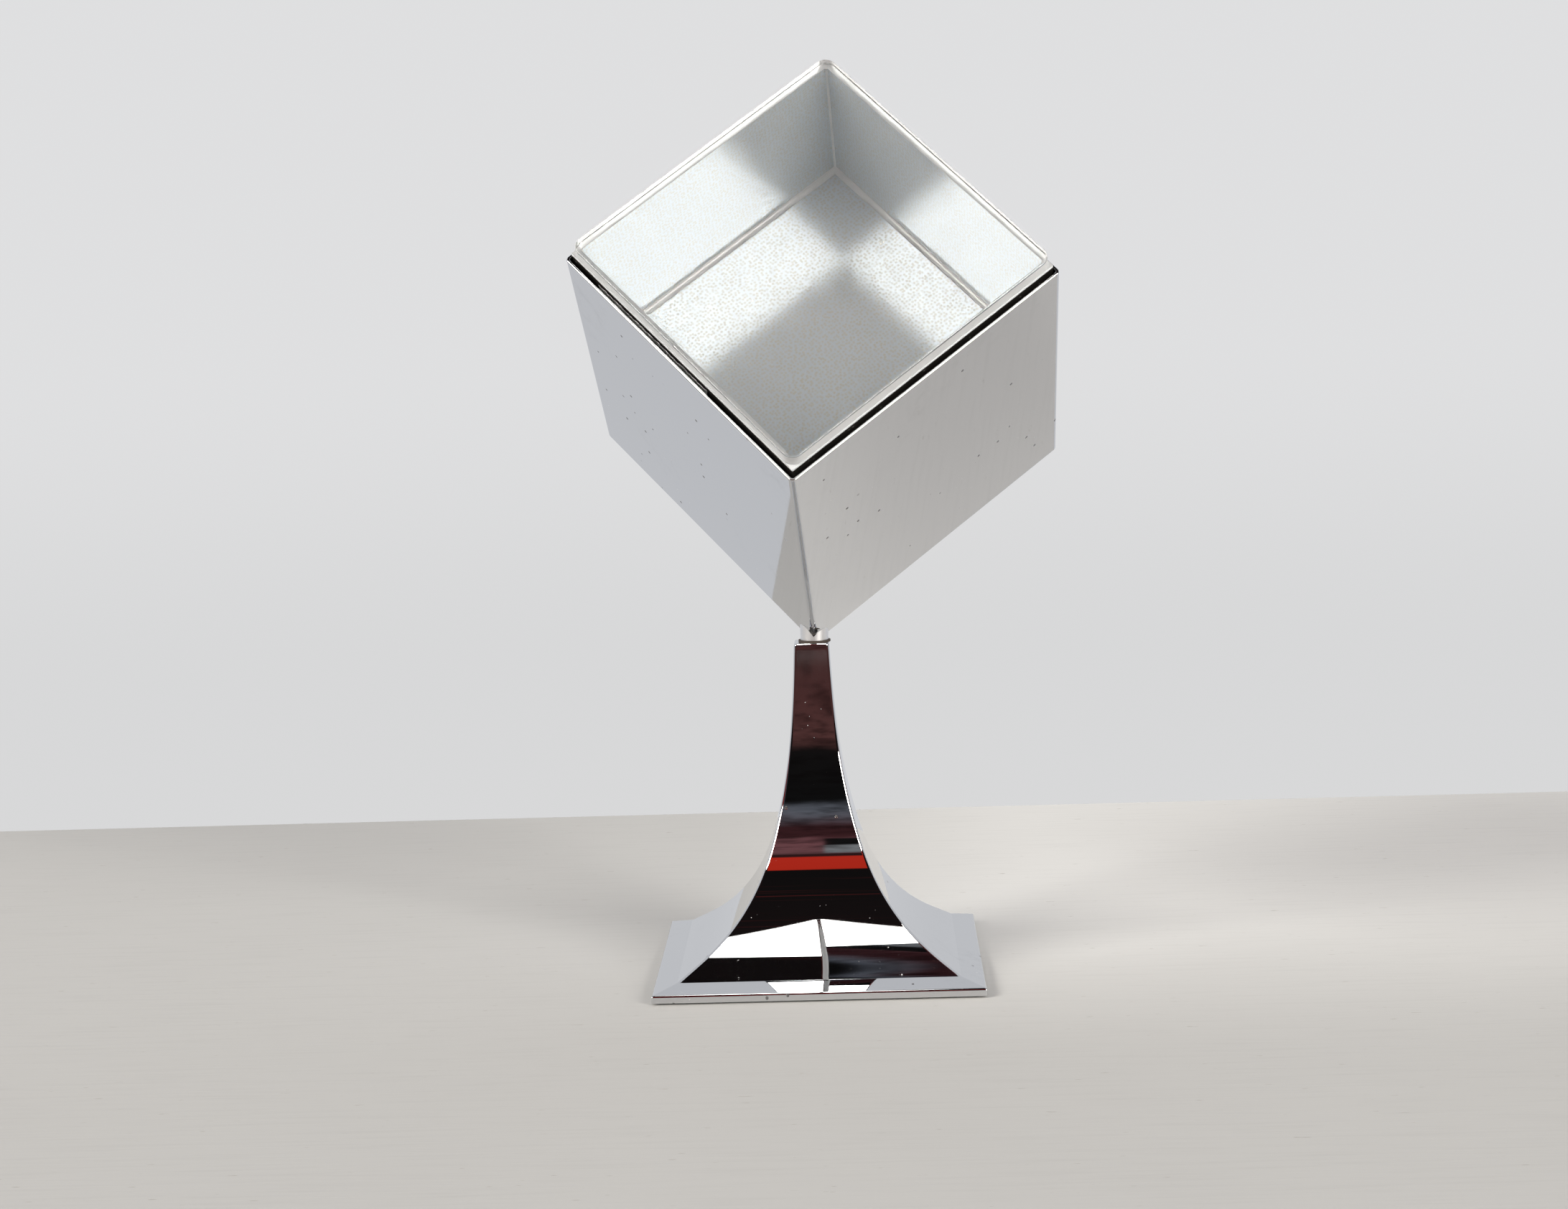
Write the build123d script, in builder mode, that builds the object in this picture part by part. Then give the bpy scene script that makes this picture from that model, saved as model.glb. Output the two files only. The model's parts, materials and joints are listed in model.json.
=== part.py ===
"""A chromed cube balanced on one corner on a flared square stand.

The cube is an open-fronted box that holds a mirror-lined tray under a clear cover.
It turns on a rod that stands in the weighted stand.

Millimetres, +Z up.  The origin is the middle of the stand's underside, +X is the
right-hand side and -Y is the front, which the cube's open face leans towards.
"""

import os
from math import asin, cos, degrees, radians, sin, sqrt

from build123d import *

os.makedirs("parts", exist_ok=True)

# ---------------------------------------------------------------- driving sizes
CUBE_EDGE = 100.0             # outside edge of the chromed cube
STAND_TOP = 99.2              # height of the stem's top face
CUBE_CORNER = 98.2            # height of the cube's lowest corner
SWIVEL_X = 0.9                # the rod stands this far to the right of the middle
CUBE_YAW = -4.5               # turn of the cube on its swivel
LEAN_BACK = 1.6               # lean of the cube about X
LEAN_SIDE = 3.0               # lean of the cube about Y

# ---------------------------------------------------------------- stand
FOOT_HALF = 48.8              # half the width of the square foot
FOOT_EDGE_TOP = 2.8           # top of the foot's upright edge
FELT_THICKNESS = 0.6
FLARE = [(5.3, STAND_TOP), (7.55, 68.3), (11.9, 45.0), (16.95, 30.0),
         (23.05, 20.0), (32.2, 11.0), (41.5, 4.8)]
FLARE_TOP_TANGENT = (0.045, -1.0)
FLARE_FOOT_TANGENT = (0.83, -0.56)
RIDGE_RADIUS = 0.9
SAME_PLACE = 0.01             # two lengths closer than this are equal
STEM_TOP_RADIUS = 0.6
STAND_WALL = 1.8
STEM_TOP_PLATE = 4.0
POCKET_HALF = 41.0            # pocket for the bottom cover
POCKET_TOP = 2.4
LEDGE_HALF = 37.0             # the cavity above the cover's ledge
BOSS_RADIUS = 3.5
BOSS_HEIGHT = 5.0
SCREW_PLACE = 33.0            # cover screws stand at plus and minus this
SCREW_CORE_RADIUS = 1.2

# ---------------------------------------------------------------- ballast and cover
BALLAST_CLEARANCE = 0.6
BALLAST_HALF = 28.5
BALLAST_BOTTOM = 4.0
BALLAST_TOP = 34.0
BALLAST_BORE_RADIUS = 3.0
NUT_POCKET_RADIUS = 8.0
NUT_POCKET_TOP = 13.0
COVER_THICKNESS = 1.5
COVER_CLEARANCE = 0.3
COVER_HOLE_RADIUS = 1.7
FELT_INSET = 1.2

# ---------------------------------------------------------------- rod and fasteners
ROD_RADIUS = 2.5
ROD_BOTTOM = 4.6
ROD_TOP = 119.0
ROD_CHAMFER = 0.5
RUNNING_CLEARANCE = 0.05      # radial, between the rod and what turns on it
NUT_ACROSS_FLATS = 8.0
NUT_HEIGHT = 4.0
NUT_COLLAR_HEIGHT = 1.4
NUT_COLLAR_RADIUS = 3.6
NUT_CHAMFER = 0.35
WASHER_RADIUS = 5.0
BALLAST_WASHER_RADIUS = 7.0
WASHER_THICKNESS = 1.0
SPRING_WASHER_RADIUS = 4.6
SPRING_WASHER_THICKNESS = 1.3
SPRING_WASHER_GAP = 0.7
BUSH_RADIUS = 4.1
FRICTION_WASHER_RADIUS = 4.85
FRICTION_WASHER_THICKNESS = 0.6
SLIDING_GAP = 0.05            # between flat faces that turn on each other
SCREW_HEAD_RADIUS = 2.7
SCREW_LENGTH = 6.0
SLOT_WIDTH = 0.7
SLOT_LENGTH = 3.2
SLOT_DEPTH = 0.6

# ---------------------------------------------------------------- cube
SHELL_WALL = 1.0
SHELL_EDGE_RADIUS = 1.5
RIM_RADIUS = 0.4
NECK_RADIUS = 4.25
NECK_TOP = CUBE_CORNER + 8.0
RELIEF_BOTTOM = CUBE_CORNER + 3.1
RELIEF_HEIGHT = 3.4
RELIEF_WIDTH = 3.0
RELIEF_REACH = 9.0
SADDLE_TOP = CUBE_CORNER + 12.0
INSERT_START = 1.9            # from the cube's near faces to the tray
INSERT_END = 98.6             # the tray's far side, measured the same way
FLOOR_LEVEL = 52.0            # the floor mirror's face, above the cube's bottom face
TRAY_TOP = 102.4
TRAY_WALL = 0.9
TRAY_FLOOR = 1.5
MIRROR_SHEET = 1.0
COVER_PLATE_TOP = 106.7
COVER_CORNER_RADIUS = 3.8
COVER_EDGE_RADIUS = 0.5
RISER_WIDTH = 10.0
RISER_PLACES = [(12.0, 88.0), (88.0, 12.0), (88.0, 88.0), (32.0, 32.0)]
SHIM_START = 38.0
SHIM_END = 86.0
SHIM_THICKNESS = 0.5
SHIM_DEPTH = 12.0
SHIM_PROUD = 0.6

# ---------------------------------------------------------------- worked out from these
CORNER_ELEVATION = degrees(asin(1 / sqrt(3)))   # slope of a cube's edges on its corner
SHELL_INSIDE = CUBE_EDGE - 2 * SHELL_WALL
SHELL_INNER_RADIUS = SHELL_EDGE_RADIUS - SHELL_WALL
INSERT_WIDTH = INSERT_END - INSERT_START
INSERT_MIDDLE = (INSERT_START + INSERT_END) / 2
TRAY_BOTTOM = FLOOR_LEVEL - MIRROR_SHEET - TRAY_FLOOR
MIRROR_WIDTH = INSERT_WIDTH - 2 * TRAY_WALL
MIRROR_HEIGHT = TRAY_TOP - FLOOR_LEVEL
MIRROR_OFFSET = (MIRROR_WIDTH - MIRROR_SHEET) / 2
NECK_BOTTOM = STAND_TOP + FRICTION_WASHER_THICKNESS + SLIDING_GAP
SPRING_WASHER_BOTTOM = SADDLE_TOP + SLIDING_GAP
TOP_WASHER_BOTTOM = SPRING_WASHER_BOTTOM + SPRING_WASHER_THICKNESS
TOP_NUT_BOTTOM = TOP_WASHER_BOTTOM + WASHER_THICKNESS
BALLAST_WASHER_BOTTOM = NUT_POCKET_TOP - WASHER_THICKNESS
BALLAST_NUT_BOTTOM = BALLAST_WASHER_BOTTOM - NUT_HEIGHT


def edge_direction(azimuth):
    """Direction of the cube edge that leaves the lowest corner at this azimuth."""
    turn = radians(azimuth + CUBE_YAW)
    slope = radians(CORNER_ELEVATION)
    upright = Vector(cos(slope) * cos(turn), cos(slope) * sin(turn), sin(slope))
    return upright.rotate(Axis.X, LEAN_BACK).rotate(Axis.Y, LEAN_SIDE)


# The cube's own plane: x to its right-hand corner, y to its left-hand corner and z out
# through the open face.
CUBE_PLANE = Plane(
    origin=(SWIVEL_X, 0, CUBE_CORNER),
    x_dir=edge_direction(30),
    z_dir=edge_direction(-90),
)


def cube_plane(x, y, height):
    """The cube's plane, moved to a point given in the cube's own measures."""
    return Plane(
        origin=CUBE_PLANE.from_local_coords((x, y, height)),
        x_dir=CUBE_PLANE.x_dir,
        z_dir=CUBE_PLANE.z_dir,
    )


def swivel_plane(height):
    """A level plane around the swivel's axis."""
    return Plane.XY.offset(height).shift_origin((SWIVEL_X, 0, height))


def flare_outline(plane, inset):
    """The stand's outline on an upright plane, moved in and down by a wall's thickness."""
    points = [(x - inset, z - inset) for x, z in FLARE]
    foot = FOOT_HALF - inset
    with BuildSketch(plane) as outline:
        with BuildLine():
            Line((0, points[0][1]), points[0])
            Spline(points, tangents=[FLARE_TOP_TANGENT, FLARE_FOOT_TANGENT])
            Polyline(
                points[-1],
                (foot, FOOT_EDGE_TOP - inset),
                (foot, FELT_THICKNESS - inset),
                (0, FELT_THICKNESS - inset),
            )
            mirror(about=Plane.YZ)
        make_face()
    return outline.sketch


def flare_solid(inset):
    """The stand's square flare as a solid: two outlines that cross."""
    with BuildPart() as solid:
        extrude(flare_outline(Plane.XZ, inset), amount=FOOT_HALF, both=True)
        extrude(flare_outline(Plane.YZ, inset), amount=FOOT_HALF, both=True, mode=Mode.INTERSECT)
    return solid.part


def square_limits(half, bottom, top):
    """A square block around the stand's axis, used to cut a solid to size."""
    with BuildPart() as limits:
        with BuildSketch(Plane.XY.offset(bottom)):
            Rectangle(2 * half, 2 * half)
        extrude(amount=top - bottom)
    return limits.part


# ================================================================ the stand
# --- pedestal_shell: the chromed casting, square in plan and hollow
with BuildPart() as stand_cavity:
    add(flare_solid(STAND_WALL))
    add(square_limits(LEDGE_HALF, POCKET_TOP, STAND_TOP - STEM_TOP_PLATE), mode=Mode.INTERSECT)

with BuildPart() as boss_posts:
    with BuildSketch(Plane.XY.offset(POCKET_TOP)):
        with GridLocations(2 * SCREW_PLACE, 2 * SCREW_PLACE, 2, 2):
            Circle(BOSS_RADIUS)
    extrude(amount=BOSS_HEIGHT)

with BuildPart() as pedestal_shell:
    add(flare_solid(0))
    ridges = edges().filter_by(lambda e: abs(abs(e.center().X) - abs(e.center().Y)) < SAME_PLACE
                               and e.center().Z > FOOT_EDGE_TOP)
    fillet(ridges, radius=RIDGE_RADIUS)
    fillet(faces().sort_by(Axis.Z)[-1].edges(), radius=STEM_TOP_RADIUS)
    add(stand_cavity.part, mode=Mode.SUBTRACT)
    add(boss_posts.part)
    with BuildSketch(Plane.XY.offset(FELT_THICKNESS)):
        Rectangle(2 * POCKET_HALF, 2 * POCKET_HALF)
    extrude(amount=POCKET_TOP - FELT_THICKNESS, mode=Mode.SUBTRACT)
    with BuildSketch(Plane.XY.offset(POCKET_TOP)):
        with GridLocations(2 * SCREW_PLACE, 2 * SCREW_PLACE, 2, 2):
            Circle(SCREW_CORE_RADIUS)
    extrude(amount=BOSS_HEIGHT - SCREW_CORE_RADIUS, mode=Mode.SUBTRACT)
    with BuildSketch(swivel_plane(STAND_TOP)):
        Circle(BUSH_RADIUS)
    extrude(amount=-STEM_TOP_PLATE, mode=Mode.SUBTRACT)
pedestal_shell.part.label = "pedestal_shell"
export_step(pedestal_shell.part, "parts/pedestal_shell.step")

# --- ballast_weight: cast iron, shaped to the hollow of the stand
with BuildPart() as ballast_weight:
    add(flare_solid(STAND_WALL + BALLAST_CLEARANCE))
    add(square_limits(BALLAST_HALF, BALLAST_BOTTOM, BALLAST_TOP), mode=Mode.INTERSECT)
    with BuildSketch(swivel_plane(BALLAST_BOTTOM)):
        Circle(BALLAST_BORE_RADIUS)
    extrude(amount=BALLAST_TOP - BALLAST_BOTTOM, mode=Mode.SUBTRACT)
    with BuildSketch(swivel_plane(BALLAST_BOTTOM)):
        Circle(NUT_POCKET_RADIUS)
    extrude(amount=NUT_POCKET_TOP - BALLAST_BOTTOM, mode=Mode.SUBTRACT)
ballast_weight.part.label = "ballast_weight"
export_step(ballast_weight.part, "parts/ballast_weight.step")

# --- bottom_cover: a sheet that closes the stand
with BuildPart() as bottom_cover:
    with BuildSketch(Plane.XY.offset(POCKET_TOP - COVER_THICKNESS)):
        Rectangle(2 * (POCKET_HALF - COVER_CLEARANCE), 2 * (POCKET_HALF - COVER_CLEARANCE))
        with GridLocations(2 * SCREW_PLACE, 2 * SCREW_PLACE, 2, 2):
            Circle(COVER_HOLE_RADIUS, mode=Mode.SUBTRACT)
    extrude(amount=COVER_THICKNESS)
    chamfer(
        faces().sort_by(Axis.Z)[0].edges().filter_by(GeomType.CIRCLE),
        length=SCREW_HEAD_RADIUS - COVER_HOLE_RADIUS,
    )
bottom_cover.part.label = "bottom_cover"
export_step(bottom_cover.part, "parts/bottom_cover.step")

# --- cover_screws: four countersunk screws
with BuildPart() as cover_screws:
    with BuildSketch(Plane.XY.offset(POCKET_TOP - COVER_THICKNESS)):
        with GridLocations(2 * SCREW_PLACE, 2 * SCREW_PLACE, 2, 2):
            Circle(SCREW_HEAD_RADIUS)
    extrude(amount=SCREW_HEAD_RADIUS - SCREW_CORE_RADIUS, taper=45)
    with BuildSketch(Plane.XY.offset(POCKET_TOP - COVER_THICKNESS)):
        with GridLocations(2 * SCREW_PLACE, 2 * SCREW_PLACE, 2, 2):
            Circle(SCREW_CORE_RADIUS)
    extrude(amount=SCREW_LENGTH - SCREW_CORE_RADIUS)
    for turn in (0, 90):
        with BuildSketch(Plane.XY.offset(POCKET_TOP - COVER_THICKNESS)):
            with GridLocations(2 * SCREW_PLACE, 2 * SCREW_PLACE, 2, 2):
                SlotOverall(SLOT_LENGTH, SLOT_WIDTH, rotation=turn)
        extrude(amount=SLOT_DEPTH, mode=Mode.SUBTRACT)
cover_screws.part.label = "cover_screws"
export_step(cover_screws.part, "parts/cover_screws.step")

# --- felt_pad: a glued felt frame that the stand rests on
with BuildPart() as felt_pad:
    with BuildSketch(Plane.XY):
        Rectangle(2 * (FOOT_HALF - FELT_INSET), 2 * (FOOT_HALF - FELT_INSET))
    extrude(amount=FELT_THICKNESS)
felt_pad.part.label = "felt_pad"
export_step(felt_pad.part, "parts/felt_pad.step")

# ================================================================ the rod and its stack
# --- tie_rod: the threaded rod that clamps the ballast and carries the cube
with BuildPart() as tie_rod:
    with BuildSketch(swivel_plane(ROD_BOTTOM)):
        Circle(ROD_RADIUS)
    extrude(amount=ROD_TOP - ROD_BOTTOM)
    chamfer(edges().filter_by(GeomType.CIRCLE), length=ROD_CHAMFER)
tie_rod.part.label = "tie_rod"
export_step(tie_rod.part, "parts/tie_rod.step")


def write_washer(name, outer_radius, bottom, thickness):
    """Make one flat washer that lies around the rod."""
    with BuildPart() as washer:
        with BuildSketch(swivel_plane(bottom)):
            Circle(outer_radius)
            Circle(ROD_RADIUS + RUNNING_CLEARANCE, mode=Mode.SUBTRACT)
        extrude(amount=thickness)
    washer.part.label = name
    export_step(washer.part, f"parts/{name}.step")


write_washer("ballast_washer", BALLAST_WASHER_RADIUS, BALLAST_WASHER_BOTTOM, WASHER_THICKNESS)
write_washer("stem_bush", BUSH_RADIUS, STAND_TOP - STEM_TOP_PLATE, STEM_TOP_PLATE)
write_washer("friction_washer", FRICTION_WASHER_RADIUS, STAND_TOP, FRICTION_WASHER_THICKNESS)
write_washer("top_washer", WASHER_RADIUS, TOP_WASHER_BOTTOM, WASHER_THICKNESS)

# --- ballast_nut: a plain hexagon nut under the ballast
with BuildPart() as ballast_nut:
    with BuildSketch(swivel_plane(BALLAST_NUT_BOTTOM)):
        RegularPolygon(NUT_ACROSS_FLATS / 2, 6, major_radius=False)
        Circle(ROD_RADIUS, mode=Mode.SUBTRACT)
    extrude(amount=NUT_HEIGHT)
    chamfer(edges().filter_by(GeomType.LINE).filter_by(Plane.XY), length=NUT_CHAMFER)
ballast_nut.part.label = "ballast_nut"
export_step(ballast_nut.part, "parts/ballast_nut.step")

# --- spring_washer: a split ring that keeps the swivel tight
with BuildPart() as spring_washer:
    with BuildSketch(swivel_plane(SPRING_WASHER_BOTTOM)):
        Circle(SPRING_WASHER_RADIUS)
        Circle(ROD_RADIUS + RUNNING_CLEARANCE, mode=Mode.SUBTRACT)
        with Locations((SPRING_WASHER_RADIUS, 0)):
            Rectangle(SPRING_WASHER_RADIUS * 2, SPRING_WASHER_GAP, mode=Mode.SUBTRACT)
    extrude(amount=SPRING_WASHER_THICKNESS)
spring_washer.part.label = "spring_washer"
export_step(spring_washer.part, "parts/spring_washer.step")

# --- top_nut: a lock nut with a round collar
with BuildPart() as top_nut:
    with BuildSketch(swivel_plane(TOP_NUT_BOTTOM)):
        RegularPolygon(NUT_ACROSS_FLATS / 2, 6, major_radius=False)
        Circle(ROD_RADIUS, mode=Mode.SUBTRACT)
    extrude(amount=NUT_HEIGHT)
    chamfer(edges().filter_by(GeomType.LINE).filter_by(Plane.XY), length=NUT_CHAMFER)
    with BuildSketch(swivel_plane(TOP_NUT_BOTTOM + NUT_HEIGHT)):
        Circle(NUT_COLLAR_RADIUS)
        Circle(ROD_RADIUS, mode=Mode.SUBTRACT)
    extrude(amount=NUT_COLLAR_HEIGHT)
top_nut.part.label = "top_nut"
export_step(top_nut.part, "parts/top_nut.step")

# ================================================================ the cube
# --- the cube's outer block, also used to cope the neck
with BuildPart() as cube_block:
    with BuildSketch(cube_plane(CUBE_EDGE / 2, CUBE_EDGE / 2, 0)):
        Rectangle(CUBE_EDGE, CUBE_EDGE)
    extrude(amount=CUBE_EDGE)

# --- cube_shell: five chromed walls, open at the front
with BuildPart() as cube_shell:
    add(cube_block.part)
    rim = faces().filter_by(lambda f: f.normal_at().dot(CUBE_PLANE.z_dir) > 0.99)
    fillet(edges() - rim.edges(), radius=SHELL_EDGE_RADIUS)
    with BuildSketch(cube_plane(CUBE_EDGE / 2, CUBE_EDGE / 2, SHELL_WALL)):
        RectangleRounded(SHELL_INSIDE, SHELL_INSIDE, SHELL_INNER_RADIUS)
    extrude(amount=CUBE_EDGE, mode=Mode.SUBTRACT)
    rim = faces().filter_by(lambda f: f.normal_at().dot(CUBE_PLANE.z_dir) > 0.99)
    fillet(rim.sort_by(lambda f: CUBE_PLANE.to_local_coords(f.center()).Z)[-1].edges(),
           radius=RIM_RADIUS)
    with BuildSketch(swivel_plane(CUBE_CORNER)):
        Circle(ROD_RADIUS + RUNNING_CLEARANCE)
    extrude(amount=SADDLE_TOP - CUBE_CORNER, mode=Mode.SUBTRACT)
    # The folded corner is left open just above the neck, as a small diamond.
    front = edge_direction(-90)
    relief_plane = Plane(
        origin=(SWIVEL_X, 0, RELIEF_BOTTOM + RELIEF_HEIGHT / 2),
        x_dir=(0, 0, 1),
        z_dir=(front.X, front.Y, 0),
    )
    with BuildSketch(relief_plane):
        Polygon((RELIEF_HEIGHT / 2, 0), (0, RELIEF_WIDTH / 2),
                (-RELIEF_HEIGHT / 2, 0), (0, -RELIEF_WIDTH / 2))
    extrude(amount=RELIEF_REACH, mode=Mode.SUBTRACT)
cube_shell.part.label = "cube_shell"
export_step(cube_shell.part, "parts/cube_shell.step")

# --- neck_tube: the short tube under the cube, coped to its corner
with BuildPart() as neck_tube:
    with BuildSketch(swivel_plane(NECK_BOTTOM)):
        Circle(NECK_RADIUS)
        Circle(ROD_RADIUS + RUNNING_CLEARANCE, mode=Mode.SUBTRACT)
    extrude(amount=NECK_TOP - NECK_BOTTOM)
    add(cube_block.part, mode=Mode.SUBTRACT)
neck_tube.part.label = "neck_tube"
export_step(neck_tube.part, "parts/neck_tube.step")

# --- corner_saddle: a cast pyramid that fills the cube's corner under the nut
with BuildPart() as corner_saddle:
    with BuildSketch(cube_plane(CUBE_EDGE / 2, CUBE_EDGE / 2, SHELL_WALL)):
        RectangleRounded(SHELL_INSIDE, SHELL_INSIDE, SHELL_INNER_RADIUS)
    extrude(amount=CUBE_EDGE / 2)
    with BuildSketch(swivel_plane(CUBE_CORNER)):
        Circle(CUBE_EDGE / 2)
    extrude(amount=SADDLE_TOP - CUBE_CORNER, mode=Mode.INTERSECT)
    with BuildSketch(swivel_plane(CUBE_CORNER)):
        Circle(ROD_RADIUS + RUNNING_CLEARANCE)
    extrude(amount=SADDLE_TOP - CUBE_CORNER, mode=Mode.SUBTRACT)
corner_saddle.part.label = "corner_saddle"
export_step(corner_saddle.part, "parts/corner_saddle.step")

# --- mirror_tray: the black box that holds the mirrors
with BuildPart() as mirror_tray:
    with BuildSketch(cube_plane(INSERT_MIDDLE, INSERT_MIDDLE, TRAY_BOTTOM)):
        Rectangle(INSERT_WIDTH, INSERT_WIDTH)
    extrude(amount=TRAY_TOP - TRAY_BOTTOM)
    with BuildSketch(cube_plane(INSERT_MIDDLE, INSERT_MIDDLE, TRAY_BOTTOM + TRAY_FLOOR)):
        Rectangle(MIRROR_WIDTH, MIRROR_WIDTH)
    extrude(amount=TRAY_TOP - TRAY_BOTTOM, mode=Mode.SUBTRACT)
mirror_tray.part.label = "mirror_tray"
export_step(mirror_tray.part, "parts/mirror_tray.step")

# --- tray_risers: four posts that hold the tray up in the cube
with BuildPart() as tray_risers:
    with BuildSketch(cube_plane(0, 0, SHELL_WALL)):
        with Locations(*RISER_PLACES):
            Rectangle(RISER_WIDTH, RISER_WIDTH)
    extrude(amount=TRAY_BOTTOM - SHELL_WALL)
tray_risers.part.label = "tray_risers"
export_step(tray_risers.part, "parts/tray_risers.step")

# --- mirror_floor: the sheet on the tray's floor
with BuildPart() as mirror_floor:
    with BuildSketch(cube_plane(INSERT_MIDDLE, INSERT_MIDDLE, FLOOR_LEVEL - MIRROR_SHEET)):
        Rectangle(MIRROR_WIDTH, MIRROR_WIDTH)
    extrude(amount=MIRROR_SHEET)
mirror_floor.part.label = "mirror_floor"
export_step(mirror_floor.part, "parts/mirror_floor.step")


def write_wall_mirror(name, x, y, width, depth):
    """Make one upright mirror sheet, placed from the middle of the tray."""
    with BuildPart() as wall_mirror:
        with BuildSketch(cube_plane(INSERT_MIDDLE + x, INSERT_MIDDLE + y, FLOOR_LEVEL)):
            Rectangle(width, depth)
        extrude(amount=MIRROR_HEIGHT)
    wall_mirror.part.label = name
    export_step(wall_mirror.part, f"parts/{name}.step")


# --- the four wall mirrors: two run from wall to wall and two stand between them
MIRROR_SPAN = MIRROR_WIDTH - 2 * MIRROR_SHEET
write_wall_mirror("mirror_far_left", 0, MIRROR_OFFSET, MIRROR_WIDTH, MIRROR_SHEET)
write_wall_mirror("mirror_near_right", 0, -MIRROR_OFFSET, MIRROR_WIDTH, MIRROR_SHEET)
write_wall_mirror("mirror_far_right", MIRROR_OFFSET, 0, MIRROR_SHEET, MIRROR_SPAN)
write_wall_mirror("mirror_near_left", -MIRROR_OFFSET, 0, MIRROR_SHEET, MIRROR_SPAN)

# --- cover_plate: clear acrylic, with rounded corners, glued on top of the tray
with BuildPart() as cover_plate:
    with BuildSketch(cube_plane(INSERT_MIDDLE, INSERT_MIDDLE, TRAY_TOP)):
        RectangleRounded(INSERT_WIDTH, INSERT_WIDTH, COVER_CORNER_RADIUS)
    extrude(amount=COVER_PLATE_TOP - TRAY_TOP)
    cover_face = faces().sort_by(lambda f: CUBE_PLANE.to_local_coords(f.center()).Z)[-1]
    fillet(cover_face.edges(), radius=COVER_EDGE_RADIUS)
cover_plate.part.label = "cover_plate"
export_step(cover_plate.part, "parts/cover_plate.step")

# --- foil_shim: a folded strip that wedges the tray against the shell's left-hand wall
with BuildPart() as foil_shim:
    with BuildSketch(cube_plane(
        (SHELL_WALL + INSERT_START) / 2,
        (SHIM_START + SHIM_END) / 2,
        CUBE_EDGE + SHIM_PROUD - SHIM_DEPTH,
    )):
        Rectangle(SHIM_THICKNESS, SHIM_END - SHIM_START)
    extrude(amount=SHIM_DEPTH)
foil_shim.part.label = "foil_shim"
export_step(foil_shim.part, "parts/foil_shim.step")
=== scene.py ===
"""Mirror cube on a flared stand.

A chromed cube stands on one corner on a short neck and a flared square pedestal. Its open
face holds a hollow tray of dotted mirror sheets under a clear plate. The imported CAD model
is the fixed frame. This script adds the finely made visible pieces, their finishes, the
studio around them and the camera. Lengths are in metres.
"""

import json
import logging
import math
from dataclasses import dataclass, field
from enum import Enum
from typing import Any, Mapping, Sequence

import bmesh
import bpy
import numpy as np
from mathutils import Matrix, Vector, noise


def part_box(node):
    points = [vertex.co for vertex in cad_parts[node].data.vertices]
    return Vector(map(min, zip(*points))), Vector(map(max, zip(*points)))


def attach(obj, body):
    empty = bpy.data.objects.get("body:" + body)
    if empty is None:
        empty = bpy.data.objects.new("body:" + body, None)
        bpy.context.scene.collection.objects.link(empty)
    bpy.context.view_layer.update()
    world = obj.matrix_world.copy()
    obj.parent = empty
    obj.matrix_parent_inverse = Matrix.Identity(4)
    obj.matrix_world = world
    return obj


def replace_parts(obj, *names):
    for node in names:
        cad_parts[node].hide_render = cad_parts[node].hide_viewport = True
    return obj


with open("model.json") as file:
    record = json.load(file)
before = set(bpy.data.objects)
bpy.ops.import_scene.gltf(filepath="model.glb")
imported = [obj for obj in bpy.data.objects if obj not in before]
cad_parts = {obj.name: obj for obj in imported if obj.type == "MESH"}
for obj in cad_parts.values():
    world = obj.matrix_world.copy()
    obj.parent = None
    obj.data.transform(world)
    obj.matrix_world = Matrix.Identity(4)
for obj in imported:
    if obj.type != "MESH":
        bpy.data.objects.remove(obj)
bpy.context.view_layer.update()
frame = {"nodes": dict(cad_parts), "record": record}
LOG = logging.getLogger("mirror_cube")

MM = 0.001
SHORTEST_STEP = 0.05 * MM
SAME_POINT = 0.002 * MM
FLAT_ANGLE = math.radians(0.4)
FLAT_WEIGHT = 80
ACRYLIC_IOR = 1.49
STAND = "stand"
CUBE = "cube"

Colour = tuple[float, float, float]

EAST = Vector((1, 0, 0))
UP = Vector((0, 0, 1))


def times(colour: Colour, share: float) -> Colour:
    """A colour made darker or lighter."""
    red, green, blue = colour
    return red * share, green * share, blue * share


class Piece(Enum):
    """The pieces made here, by the name they carry in the model."""

    PEDESTAL = "pedestal_casting"
    BOSSES = "screw_bosses"
    SCREWS = "cover_screw_set"
    FELT = "felt_foot"
    CASING = "cube_casing"
    NECK = "coped_neck"
    PLATE = "clear_plate"
    SEAMS = "mirror_seams"
    TAPE = "plate_tape"
    FOIL = "foil_packing"


# ---------------------------------------------------------------- shader building


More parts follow.
